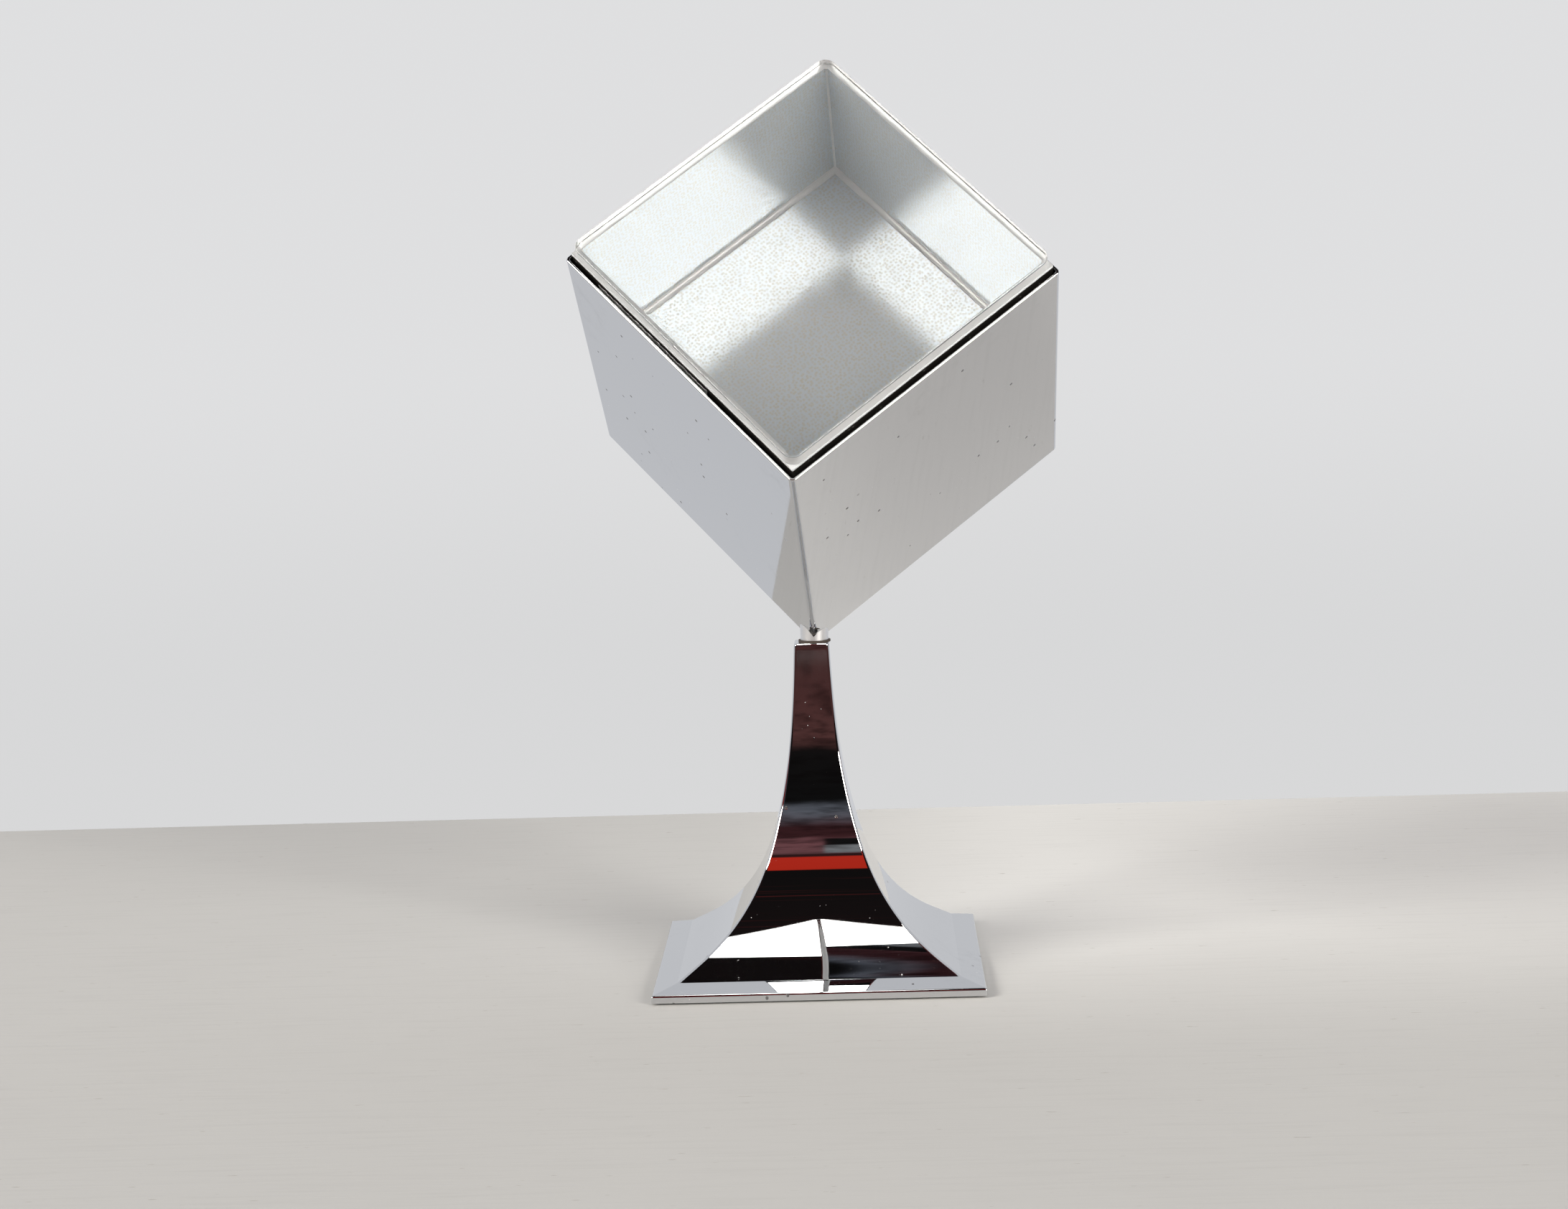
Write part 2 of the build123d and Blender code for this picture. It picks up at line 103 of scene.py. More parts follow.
class Signal:
    """A shader socket that takes part in Python sums; each operator adds a Math node."""

    def __init__(self, graph: "Graph", socket: bpy.types.NodeSocket) -> None:
        """Wraps one output socket of a graph."""
        self.graph = graph
        self.socket = socket

    def _math(self, operation: str, *values: Any) -> "Signal":
        """Adds a Math node on the given values."""
        return self.graph.make(
            "ShaderNodeMath", {"operation": operation}, dict(enumerate(values))
        )

    def __add__(self, other: Any) -> "Signal":
        """Sum."""
        return self._math("ADD", self, other)

    __radd__ = __add__

    def __sub__(self, other: Any) -> "Signal":
        """Difference."""
        return self._math("SUBTRACT", self, other)

    def __rsub__(self, other: Any) -> "Signal":
        """Difference, reflected."""
        return self._math("SUBTRACT", other, self)

    def __mul__(self, other: Any) -> "Signal":
        """Product."""
        return self._math("MULTIPLY", self, other)

    __rmul__ = __mul__

    def __truediv__(self, other: Any) -> "Signal":
        """Quotient."""
        return self._math("DIVIDE", self, other)

    def __abs__(self) -> "Signal":
        """Absolute value."""
        return self._math("ABSOLUTE", self)

    def over(self, limit: Any) -> "Signal":
        """One where the value is over a limit, else zero."""
        return self._math("GREATER_THAN", self, limit)

    def larger(self, other: Any) -> "Signal":
        """The larger of two values."""
        return self._math("MAXIMUM", self, other)

    def angle_to(self, other: Any) -> "Signal":
        """The angle, in degrees, whose rise is this value and whose run is the other."""
        return self._math("ARCTAN2", self, other) * math.degrees(1.0)

    def step(self, low: float, high: float) -> "Signal":
        """Rises smoothly from 0 at low to 1 at high."""
        return self.graph.make(
            "ShaderNodeMapRange",
            {"interpolation_type": "SMOOTHSTEP"},
            {"Value": self, "From Min": low, "From Max": high},
        )

    def band(self, low: float, high: float, soft: float) -> "Signal":
        """One between two limits and zero outside them, with soft ends."""
        return self.step(low - soft, low + soft) * (1 - self.step(high - soft, high + soft))


class Graph:
    """A node tree and the one method that adds nodes to it."""

    def __init__(self, tree: bpy.types.NodeTree) -> None:
        """Empties the tree and keeps it."""
        self.tree = tree
        self.tree.nodes.clear()

    def make(
        self,
        kind: str,
        settings: Mapping[str, Any] | None = None,
        sockets: Mapping[Any, Any] | None = None,
        output: Any = 0,
    ) -> Signal:
        """Adds one node.

        Args:
            kind: the node's type.
            settings: its properties, set first; "stops" are a ramp's (place, colour) pairs.
            sockets: values or signals, by input name or index.
            output: the output to return, by name or index.

        Returns:
            The chosen output, or the node's only one. A node with no output gives itself.
        """
        node = self.tree.nodes.new(kind)
        for name, value in (settings or {}).items():
            if name == "stops":
                self._set_stops(node.color_ramp, value)
            else:
                setattr(node, name, value)
        for name, value in (sockets or {}).items():
            target = node.inputs[name]
            if isinstance(value, Signal):
                self.tree.links.new(value.socket, target)
            elif target.type == "RGBA" and len(value) == 3:
                target.default_value = (*value, 1.0)
            else:
                target.default_value = value
        if not node.outputs:
            return Signal(self, None)
        return Signal(self, node.outputs[output])

    @staticmethod
    def _set_stops(ramp: bpy.types.ColorRamp, stops: Sequence[tuple[float, Colour]]) -> None:
        """Gives a colour ramp its stops."""
        while len(ramp.elements) < len(stops):
            ramp.elements.new(1.0)
        for element, (place, colour) in zip(ramp.elements, stops):
            element.position = place
            element.color = (*colour, 1.0)

    def mix(self, factor: Any, first: Any, second: Any) -> Signal:
        """Mixes two colours."""
        return self.make(
            "ShaderNodeMix", {"data_type": "RGBA"}, {0: factor, 6: first, 7: second}, 2
        )

    def place(self) -> Signal:
        """The point on the piece, in metres."""
        return self.make("ShaderNodeTexCoord", output="Object")

    def along(self, direction: Vector, point: Signal) -> Signal:
        """How far a point lies along a direction."""
        return self.make(
            "ShaderNodeVectorMath",
            {"operation": "DOT_PRODUCT"},
            {0: point, 1: tuple(direction)},
            "Value",
        )

    def vector(self, x: Any, y: Any, z: Any) -> Signal:
        """A vector from three values."""
        return self.make("ShaderNodeCombineXYZ", None, {0: x, 1: y, 2: z})

    def grain(
        self, point: Signal, scale: float, detail: float = 3.0, rough: float = 0.55
    ) -> Signal:
        """Cloudy noise from 0 to 1."""
        return self.make(
            "ShaderNodeTexNoise",
            None,
            {"Vector": point, "Scale": scale, "Detail": detail, "Roughness": rough},
        )

    def streaks(self, point: Signal, direction: Vector, scale: float, length: float) -> Signal:
        """Noise drawn out along a direction."""
        turned = self.make(
            "ShaderNodeMapping",
            None,
            {
                "Vector": point,
                "Rotation": tuple(direction.to_track_quat("X", "Z").inverted().to_euler()),
                "Scale": (1 / length, 1.0, 1.0),
            },
        )
        return self.grain(turned, scale, 2.0)

    def specks(self, point: Signal, scale: float, share: float, size: float) -> Signal:
        """Scattered dots.

        Args:
            point: the point on the piece.
            scale: cells for each metre.
            share: the share of the cells that hold a dot.
            size: a dot's radius as a share of its cell.

        Returns:
            One inside a dot, zero elsewhere.
        """
        cells = {"Vector": point, "Scale": scale}
        far = self.make("ShaderNodeTexVoronoi", None, cells, "Distance")
        tint = self.make("ShaderNodeTexVoronoi", None, cells, "Color")
        chance = self.make("ShaderNodeSeparateColor", None, {0: tint})
        return (1 - far.step(size * 0.7, size)) * (1 - chance.step(share * 0.8, share))

    def bump(self, height: Any, depth: float) -> Signal:
        """A bump of the given depth in metres."""
        return self.make("ShaderNodeBump", None, {"Height": height, "Distance": depth})


@dataclass(frozen=True)
class Finish:
    """A finish: the numbers of a surface and the nodes that vary it."""

    name: str
    colour: Colour
    roughness: float = 0.3
    metallic: float = 0.0

    def material(self) -> bpy.types.Material:
        """Builds the material once and returns it."""
        made = bpy.data.materials.get(self.name)
        if made is not None:
            return made
        made = bpy.data.materials.new(self.name)
        made.use_nodes = True
        graph = Graph(made.node_tree)
        sockets = {
            "Base Color": self.colour,
            "Roughness": self.roughness,
            "Metallic": self.metallic,
        }
        sockets.update(self.surface(graph, graph.place()))
        shader = graph.make("ShaderNodeBsdfPrincipled", None, sockets)
        graph.make("ShaderNodeOutputMaterial", None, {"Surface": shader})
        made.diffuse_color = (*self.colour, 1.0)
        return made

    def surface(self, graph: Graph, point: Signal) -> dict[str, Any]:
        """What varies over the surface, by the shader's socket names."""
        cloud = graph.grain(point, 90.0)
        return {
            "Base Color": graph.mix(cloud, self.colour, times(self.colour, 0.8)),
            "Roughness": self.roughness + (cloud - 0.5) * 0.15,
            "Normal": graph.bump(graph.grain(point, 900.0), 0.02 * MM),
        }


@dataclass(frozen=True)
class Chrome(Finish):
    """Bright plating with faint waves, smudges, pits, dust and hairline scratches."""

    metallic: float = 1.0
    wave: float = 0.012 * MM
    smudge: float = 0.05
    pits: float = 0.05
    dust: float = 0.014
    scratch_run: Vector = field(default=Vector((0.3, 0.0, 1.0)), hash=False, compare=False)

    def surface(self, graph: Graph, point: Signal) -> dict[str, Any]:
        """Plating seen close."""
        cloud = graph.grain(point, 28.0, 4.0, 0.6)
        film = cloud.step(0.52, 0.72) * graph.grain(point, 210.0, 4.0, 0.7).step(0.4, 0.75)
        pit = graph.specks(point, 330.0, self.pits, 0.19)
        dusty_place = graph.grain(point, 60.0).step(0.5, 0.62)
        motes = graph.specks(point, 1700.0, self.dust, 0.26) * dusty_place
        hair = graph.streaks(point, self.scratch_run, 900.0, 12.0).step(0.74, 0.78)
        patch = graph.grain(point, 75.0, 1.0).step(0.55, 0.7)
        scratch = hair * patch
        dulled = graph.mix(film * 0.36, self.colour, times(self.colour, 0.72))
        pitted = graph.mix(pit * 0.75, dulled, (0.09, 0.08, 0.075))
        dusty = graph.mix(motes * 0.8, pitted, (0.8, 0.8, 0.8))
        waves = graph.grain(point, 22.0, 1.0) * self.wave
        height = waves - pit * 0.03 * MM - scratch * 0.004 * MM
        return {
            "Base Color": dusty,
            "Metallic": self.metallic - motes * 0.7,
            "Roughness": (
                self.roughness + film * self.smudge + scratch * 0.18 + (pit + motes) * 0.35
            ),
            "Normal": graph.bump(height, 1.0),
        }


@dataclass(frozen=True)
class DottedMirror(Finish):
    """A silvered sheet with a fine grid of dots, which spreads what it reflects. Its colour is
    tinted blue as a painted reflection of the pale room, and its dots are warm as painted glints of
    the lamps.
    """

    metallic: float = 0.25
    dot_glint_colour: Colour = (0.80, 0.77, 0.70)
    dot_roughness: float = 0.12
    across: Vector = field(default=Vector((1, 0, 0)), hash=False, compare=False)
    along: Vector = field(default=Vector((0, 1, 0)), hash=False, compare=False)
    pitch: float = 1.15 * MM

    def surface(self, graph: Graph, point: Signal) -> dict[str, Any]:
        """A dot grid turned to the cube, broken up by the sheet's slight waves."""
        local = graph.vector(
            graph.along(self.across, point), graph.along(self.along, point), 0.0
        )
        cells = graph.make(
            "ShaderNodeTexVoronoi",
            {"voronoi_dimensions": "2D"},
            {"Vector": local, "Scale": 1 / self.pitch, "Randomness": 0.6},
            "Distance",
        )
        beat = graph.grain(local, 240.0, 3.0, 0.6)
        dots = (1 - cells.step(0.22, 0.44)) * (0.75 + (beat - 0.5) * 1.4)
        fine = graph.grain(local, 1500.0, 2.0, 0.7)
        # Painted reflection and glint: the ground keeps the sheet's blue tint, and the dots turn
        # warm like the lamps they catch.
        shade = graph.mix(dots, self.colour, self.dot_glint_colour)
        return {
            "Base Color": shade,
            "Roughness": self.roughness + dots * self.dot_roughness,
            "Normal": graph.bump(dots * 0.006 * MM + fine * 0.0015 * MM, 1.0),
        }


@dataclass(frozen=True)
class ClearPlate(Finish):
    """Polished clear plate with faint scuffs."""

    def surface(self, graph: Graph, point: Signal) -> dict[str, Any]:
        """Clear, with hairlines where it was wiped."""
        hair = graph.streaks(point, Vector((0.6, 0.5, 0.3)), 1200.0, 50.0).step(0.70, 0.75)
        patch = graph.grain(point, 50.0, 2.0).step(0.5, 0.7)
        return {
            "Roughness": self.roughness + hair * patch * 0.12,
            "Transmission Weight": 1.0,
            "IOR": ACRYLIC_IOR,
        }


@dataclass(frozen=True)
class SawnEdge(Finish):
    """The plate's sawn side: pale, misted and finely lined."""

    def surface(self, graph: Graph, point: Signal) -> dict[str, Any]:
        """Saw lines over a misted ground."""
        lines = graph.grain(point, 1400.0, 2.0)
        return {
            "Base Color": graph.mix(lines, self.colour, times(self.colour, 0.9)),
            "Roughness": self.roughness + lines * 0.15,
            "Transmission Weight": 0.3,
            "IOR": ACRYLIC_IOR,
            "Normal": graph.bump(lines, 0.01 * MM),
        }


@dataclass(frozen=True)
class SatinBlack(Finish):
    """Black tray finish, rubbed and speckled along its edges."""

    def surface(self, graph: Graph, point: Signal) -> dict[str, Any]:
        """Black with small bright chips and a rubbed sheen."""
        chips = graph.specks(point, 900.0, 0.10, 0.33)
        rub = graph.grain(point, 120.0, 4.0)
        return {
            "Base Color": graph.mix(chips * 0.55, self.colour, (0.4, 0.4, 0.4)),
            "Roughness": self.roughness + rub * 0.2,
            "Normal": graph.bump(graph.grain(point, 1300.0), 0.02 * MM),
        }


@dataclass(frozen=True)
class Felt(Finish):
    """Pressed wool felt: tangled fibres, soft and uneven."""

    def surface(self, graph: Graph, point: Signal) -> dict[str, Any]:
        """Fibres in two directions over a mottled ground."""
        across = graph.streaks(point, Vector((1.0, 0.4, 0.0)), 2600.0, 8.0)
        along = graph.streaks(point, Vector((-0.5, 1.0, 0.0)), 2300.0, 8.0)
        fibres = (across + along) * 0.5
        mottle = graph.grain(point, 160.0)
        ground = graph.mix(mottle, self.colour, times(self.colour, 1.7))
        pale = times(self.colour, 2.4)
        return {
            "Base Color": graph.mix(fibres.step(0.5, 0.75), ground, pale),
            "Roughness": 0.95,
            "Sheen Weight": 0.4,
            "Normal": graph.bump(fibres, 0.12 * MM),
        }


@dataclass(frozen=True)
class Cast(Finish):
    """A sand casting: coarse skin with darker hollows."""

    def surface(self, graph: Graph, point: Signal) -> dict[str, Any]:
        """Coarse grains and stains."""
        skin = graph.grain(point, 700.0, 4.0, 0.7)
        stain = graph.grain(point, 60.0)
        return {
            "Base Color": graph.mix(stain, self.colour, times(self.colour, 0.55)),
            "Roughness": self.roughness + skin * 0.2,
            "Normal": graph.bump(skin, 0.15 * MM),
        }


@dataclass(frozen=True)
class Turned(Finish):
    """A turned and plated steel piece with fine lathe rings around the rod."""

    metallic: float = 1.0

    def surface(self, graph: Graph, point: Signal) -> dict[str, Any]:
        """Rings up the piece, with dull patches."""
        height = graph.along(UP, point)
        rings = graph.grain(graph.vector(0.0, 0.0, height), 5200.0, 2.0)
        dull = graph.grain(point, 240.0, 4.0)
        return {
            "Base Color": graph.mix(dull.step(0.4, 0.8), self.colour, times(self.colour, 0.6)),
            "Roughness": self.roughness + dull * 0.2,
            "Normal": graph.bump(rings, 0.01 * MM),
        }


@dataclass(frozen=True)
class SawnWood(Finish):
    """Sawn softwood with growth rings."""

    def surface(self, graph: Graph, point: Signal) -> dict[str, Any]:
        """Rings broken by fibres."""
        wave = graph.make(
            "ShaderNodeTexWave",
            None,
            {"Vector": point, "Scale": 130.0, "Distortion": 3.0, "Detail": 3.0},
            "Fac",
        )
        fibre = graph.streaks(point, UP, 1600.0, 14.0)
        return {
            "Base Color": graph.mix(wave, self.colour, times(self.colour, 0.66)),
            "Roughness": self.roughness + fibre * 0.15,
            "Normal": graph.bump(fibre, 0.05 * MM),
        }


@dataclass(frozen=True)
class Foil(Finish):
    """Crumpled bright foil."""

    metallic: float = 1.0

    def surface(self, graph: Graph, point: Signal) -> dict[str, Any]:
        """Sharp creases at two sizes, drawn darker along their lines as painted shade."""
        creases = graph.make(
            "ShaderNodeTexVoronoi",
            {"feature": "DISTANCE_TO_EDGE"},
            {"Vector": point, "Scale": 900.0},
            "Distance",
        )
        return {
            # Painted shade: the crease lines are coloured dark where the crumpled foil shades
            # itself.
            "Base Color": graph.mix(creases.step(0.0, 0.1), (0.25, 0.24, 0.22), self.colour),
            "Roughness": self.roughness + graph.grain(point, 500.0) * 0.2,
            "Normal": graph.bump(creases, 0.12 * MM),
        }


# ---------------------------------------------------------------- mesh building


def rounded_square(half: float, radius: float, arc_steps: int, side_steps: int = 1) -> np.ndarray:
    """Outline of a square with round corners, anticlockwise from its right side.

    Args:
        half: half the square's width.
        radius: the corners' radius.
        arc_steps: steps in each corner.
        side_steps: steps along each side.

    Returns:
        The outline's points, one row each.
    """
    points: list[tuple[float, float]] = []
    flat = half - radius
    for corner in range(4):
        start = corner * math.pi / 2
        middle = start + math.pi / 4
        x, y = math.copysign(flat, math.cos(middle)), math.copysign(flat, math.sin(middle))
        for step in range(arc_steps + 1):
            turn = start + step * math.pi / 2 / arc_steps
            points.append((x + radius * math.cos(turn), y + radius * math.sin(turn)))
        side_x, side_y = -math.sin(start + math.pi / 2), math.cos(start + math.pi / 2)
        x, y = points[-1]
        for step in range(1, side_steps):
            run = 2 * flat * step / side_steps
            points.append((x + side_x * run, y + side_y * run))
    return np.array(points)


def circle(radius: float, like: np.ndarray) -> np.ndarray:
    """A circle with a point at the same bearing as each point of an outline."""
    bearing = np.arctan2(like[:, 1], like[:, 0])
    return radius * np.column_stack((np.cos(bearing), np.sin(bearing)))


def closed_mesh(body: bmesh.types.BMesh, name: str) -> bpy.types.Mesh:
    """Turns a closed body's faces outwards and makes it a mesh."""
    bmesh.ops.recalc_face_normals(body, faces=body.faces)
    mesh = bpy.data.meshes.new(name)
    body.to_mesh(mesh)
    body.free()
    return mesh


@dataclass
class RingShell:
    """A closed skin stretched over level rings that all have the same number of points."""

    rings: list[np.ndarray] = field(default_factory=list)

    def add(self, outline: np.ndarray, height: float) -> None:
        """Adds a ring at a height."""
        self.rings.append(np.column_stack((outline, np.full(len(outline), height))))

    def mesh(self, name: str, loop: bool = False) -> bpy.types.Mesh:
        """Makes the mesh.

        Args:
            name: the mesh's name.
            loop: joins the last ring to the first one, and otherwise closes both ends.

        Returns:
            The closed mesh, with its faces pointing outwards.
        """
        count = len(self.rings[0])
        body = bmesh.new()
        rows = [[body.verts.new(point) for point in ring] for ring in self.rings]
        pairs = list(zip(rows, rows[1:]))
        if loop:
            pairs.append((rows[-1], rows[0]))
        else:
            body.faces.new(rows[0])
            body.faces.new(rows[-1])
        for low, high in pairs:
            for k in range(count):
                n = (k + 1) % count
                body.faces.new((low[k], low[n], high[n], high[k]))
        return closed_mesh(body, name)


def add_piece(
    piece: Piece, mesh: bpy.types.Mesh, finish: Finish, body: str
) -> bpy.types.Object:
    """Puts a finished mesh into the scene.

    Args:
        piece: its name.
        mesh: its mesh, in place.
        finish: what it is finished in.
        body: the body that it rides on.

    Returns:
        The new object.
    """
    made = bpy.data.objects.new(piece.value, mesh)
    bpy.context.scene.collection.objects.link(made)
    mesh.materials.clear()
    mesh.materials.append(finish.material())
    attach(made, body)
    LOG.info("made %s on %s: %d faces", piece.value, body, len(mesh.polygons))
    return made


def smooth(target: bpy.types.Object, crease: float = 40.0) -> None:
    """Shades an object smooth up to an angle in degrees, with flat faces kept flat."""
    mesh = target.data
    mesh.shade_smooth()
    mesh.set_sharp_from_angle(angle=math.radians(crease))
    keep_flat = target.modifiers.new("Flat Faces", "WEIGHTED_NORMAL")
    keep_flat.keep_sharp = True
    keep_flat.weight = FLAT_WEIGHT


def merged_copy(node: str, name: str) -> bpy.types.Mesh:
    """A joined-up copy of a CAD node's mesh."""
    body = bmesh.new()
    body.from_mesh(frame["nodes"][node].data)
    bmesh.ops.remove_doubles(body, verts=body.verts, dist=SAME_POINT)
    bmesh.ops.dissolve_limit(
        body, angle_limit=FLAT_ANGLE, verts=body.verts, edges=body.edges
    )
    mesh = bpy.data.meshes.new(name)
    body.to_mesh(mesh)
    body.free()
    return mesh


@dataclass
class FlareCurve:
    """A smooth curve through points, with a given direction at each end."""

    points: np.ndarray
    start: tuple[float, float]
    end: tuple[float, float]

    def slopes(self) -> tuple[np.ndarray, np.ndarray]:
        """Chord lengths and the curve's slope at each point."""
        chord = np.linalg.norm(np.diff(self.points, axis=0), axis=1)
        count = len(self.points)
        system = np.eye(count)
        wanted = np.zeros((count, 2))
        wanted[0] = np.array(self.start) / math.hypot(*self.start)
        wanted[-1] = np.array(self.end) / math.hypot(*self.end)
        rise = np.diff(self.points, axis=0) / chord[:, None]
        for k in range(1, count - 1):
            before, after = 1 / chord[k - 1], 1 / chord[k]
            system[k, k - 1 : k + 2] = (before, 2 * (before + after), after)
            wanted[k] = 3 * (rise[k - 1] * before + rise[k] * after)
        return chord, np.linalg.solve(system, wanted)

    def sample(self, step: float) -> np.ndarray:
        """Points along the curve, about a step apart."""
        chord, slope = self.slopes()
        rows = [self.points[:1]]
        for k, length in enumerate(chord):
            count = max(2, round(length / step))
            t = np.arange(1, count + 1)[:, None] / count
            stay = (1 + 2 * t) * (1 - t) ** 2
            leave = t * (1 - t) ** 2
            reach = t**2 * (3 - 2 * t)
            arrive = t**2 * (t - 1)
            rows.append(
                stay * self.points[k]
                + leave * length * slope[k]
                + reach * self.points[k + 1]
                + arrive * length * slope[k + 1]
            )
        return np.vstack(rows)


# ---------------------------------------------------------------- the cube's own space


class CubeSpace:
    """The tilted cube's measures: x to its right corner, y to its left one, z out."""

    def __init__(self, sheet: str, shell: str) -> None:
        """Reads the three directions from a flat sheet and the corner from the shell."""
        facing = [Vector(p.normal) for p in frame["nodes"][sheet].data.polygons if p.normal.z > 0]
        self.out = min(facing, key=lambda n: n.y)
        self.left = min(facing, key=lambda n: n.x)
        self.right = max(facing, key=lambda n: n.x)
        self.turn = np.array([self.right, self.left, self.out])
        self.corner = self._span(shell)[0]

    def _span(self, node: str) -> np.ndarray:
        """A node's lowest and highest measures along the three directions."""
        mesh = frame["nodes"][node].data
        points = np.empty(len(mesh.vertices) * 3)
        mesh.vertices.foreach_get("co", points)
        local = points.reshape(-1, 3) @ self.turn.T
        return np.array([local.min(axis=0), local.max(axis=0)])

    def box(self, node: str) -> tuple[Vector, Vector]:
        """A CAD node's lowest and highest corners, from the cube's lowest corner."""
        low, high = self._span(node) - self.corner
        return Vector(low), Vector(high)

    def settle(self, mesh: bpy.types.Mesh, origin: Vector = Vector()) -> None:
        """Moves a mesh drawn in the cube's measures, around a point, to its true place."""
        points = np.empty(len(mesh.vertices) * 3)
        mesh.vertices.foreach_get("co", points)
        local = points.reshape(-1, 3) + np.array(origin) + self.corner
        mesh.vertices.foreach_set("co", (local @ self.turn).ravel())
        mesh.update()


# ---------------------------------------------------------------- the stand


@dataclass
class Stand:
    """The pedestal, its felt, and the screws and bosses that close it."""

    foot_edge_top: float = 2.8 * MM
    ridge_radius: float = 0.9 * MM
    foot_corner_radius: float = 0.35 * MM
    lip_radius: float = 0.75 * MM
    stem_top_radius: float = 0.6 * MM
    wall: float = 1.8 * MM
    top_plate: float = 4.0 * MM
    bush_radius: float = 4.1 * MM
    pocket_half: float = 41.0 * MM
    pocket_top: float = 2.4 * MM
    ledge_half: float = 37.0 * MM
    screw_place: float = 33.0 * MM
    boss_radius: float = 3.5 * MM
    boss_height: float = 5.0 * MM
    screw_core: float = 1.2 * MM
    head_radius: float = 2.7 * MM
    flare: tuple[tuple[float, float], ...] = (
        (7.55, 68.3), (11.9, 45.0), (16.95, 30.0), (23.05, 20.0), (32.2, 11.0), (41.5, 4.8),
    )
    stem_half: float = 5.3
    top_tangent: tuple[float, float] = (0.045, -1.0)
    foot_tangent: tuple[float, float] = (0.83, -0.56)
    swivel_x: float = 0.9 * MM
    arc_steps: int = 6

    def __post_init__(self) -> None:
        """Takes the outer sizes from the frame."""
        low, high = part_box("pedestal_shell")
        self.foot_half = high[0]
        self.bottom = low[2]
        self.top = high[2]
        points = np.array([(self.stem_half, self.top / MM), *self.flare]) * MM
        self.curve = FlareCurve(points, self.top_tangent, self.foot_tangent)

    def _outer_rings(self) -> list[tuple[float, float, float]]:
        """Half width, height and corner radius of each ring, from the foot to the top."""
        rings = [(self.foot_half, self.bottom, self.foot_corner_radius)]
        sweep = self.curve.sample(1.0 * MM)[::-1]
        start = sweep[0]
        slope = math.atan2(start[1] - self.foot_edge_top, self.foot_half - start[0])
        turn = math.pi / 2 - slope
        reach = self.lip_radius * math.tan(turn / 2)
        for k in range(self.arc_steps + 1):
            part = turn * k / self.arc_steps
            rings.append((
                self.foot_half - self.lip_radius * (1 - math.cos(part)),
                self.foot_edge_top - reach + self.lip_radius * math.sin(part),
                self.foot_corner_radius,
            ))
        border = Vector((rings[-1][0], rings[-1][1]))
        crease = Vector(start)
        for share in (0.04, 0.3, 0.6, 0.9, 0.985):
            spot = border.lerp(crease, share)
            radius = self.foot_corner_radius + share * (self.ridge_radius - self.foot_corner_radius)
            rings.append((spot.x, spot.y, radius))
        for half, height in sweep[:-1]:
            rings.append((half, height, self.ridge_radius))
        return rings

    def _top_rings(self) -> list[tuple[float, float, float]]:
        """The rounding at the stem's top."""
        rings = []
        for k in range(self.arc_steps + 1):
            part = math.pi / 2 * k / self.arc_steps
            half = self.stem_half * MM - self.stem_top_radius * (1 - math.cos(part))
            height = self.top - self.stem_top_radius * (1 - math.sin(part))
            rings.append((half, height, self.ridge_radius))
        return rings

    def casting(self) -> bpy.types.Mesh:
        """The hollow pedestal as one closed skin."""
        shell = RingShell()
        limit = self.top - self.stem_top_radius - SHORTEST_STEP
        outer = [ring for ring in self._outer_rings() if ring[1] < limit]
        for half, height, radius in outer + self._top_rings():
            shell.add(rounded_square(half, radius, self.arc_steps), height)
        like = rounded_square(self.bush_radius, self.ridge_radius, self.arc_steps)
        hole = circle(self.bush_radius, like)
        hole[:, 0] += self.swivel_x
        under = self.top - self.top_plate
        shell.add(hole, self.top)
        shell.add(hole, under)
        inner = self.curve.sample(4.0 * MM) - self.wall
        for half, height in inner:
            if self.pocket_top < height < under - self.ridge_radius and half < self.ledge_half:
                shell.add(rounded_square(half, self.ridge_radius, self.arc_steps), height)
        for half, height in (
            (self.ledge_half, self.pocket_top + self.ridge_radius),
            (self.ledge_half, self.pocket_top),
            (self.pocket_half, self.pocket_top),
            (self.pocket_half, self.bottom),
        ):
            shell.add(rounded_square(half, self.foot_corner_radius, self.arc_steps), height)
        return shell.mesh(Piece.PEDESTAL.value, loop=True)

    def felt(self) -> bpy.types.Mesh:
        """The felt under the foot, with a hand-cut, slightly fuzzy edge."""
        low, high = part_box("felt_pad")
        half, thick = high[0], high[2] - low[2]
        shell = RingShell()
        for inset, height in ((0.5, 0.0), (0.08, 0.2), (0.0, 0.5), (0.1, 0.8), (0.6, 1.0)):
            outline = rounded_square(half - inset * MM, 2.0 * MM, 6, 60)
            for k, (x, y) in enumerate(outline):
                fray = noise.noise(Vector((x, y, height * MM)) * 900.0)
                outline[k] *= 1 - (0.12 + 0.1 * fray) * MM / half
            shell.add(outline, low[2] + thick * height)
        return shell.mesh(Piece.FELT.value)

    def _screw(self) -> bpy.types.Mesh:
        """One countersunk screw standing on its head, drawn around the axis."""
        low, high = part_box("cover_screws")
        bottom, top = low[2], high[2]
        outline = rounded_square(self.head_radius, self.head_radius * 0.9, 6)
        shell = RingShell()
        neck = bottom + (self.head_radius - self.screw_core)
        for radius, height in (
            (self.head_radius - 0.15 * MM, bottom),
            (self.head_radius, bottom + 0.15 * MM),
            (self.screw_core, neck),
            (self.screw_core, top - 0.6 * MM),
            (0.4 * MM, top),
        ):
            shell.add(circle(radius, outline), height)
        return shell.mesh("screw")

    def _boss(self) -> bpy.types.Mesh:
        """One screw boss: a short tube."""
        outline = rounded_square(self.boss_radius, self.boss_radius * 0.9, 6)
        outer, inner = circle(self.boss_radius, outline), circle(self.screw_core, outline)
        shell = RingShell()
        top = self.pocket_top + self.boss_height
        low = self.pocket_top
        for ring, height in ((outer, low), (outer, top), (inner, top), (inner, low)):
            shell.add(ring, height)
        return shell.mesh("boss", loop=True)

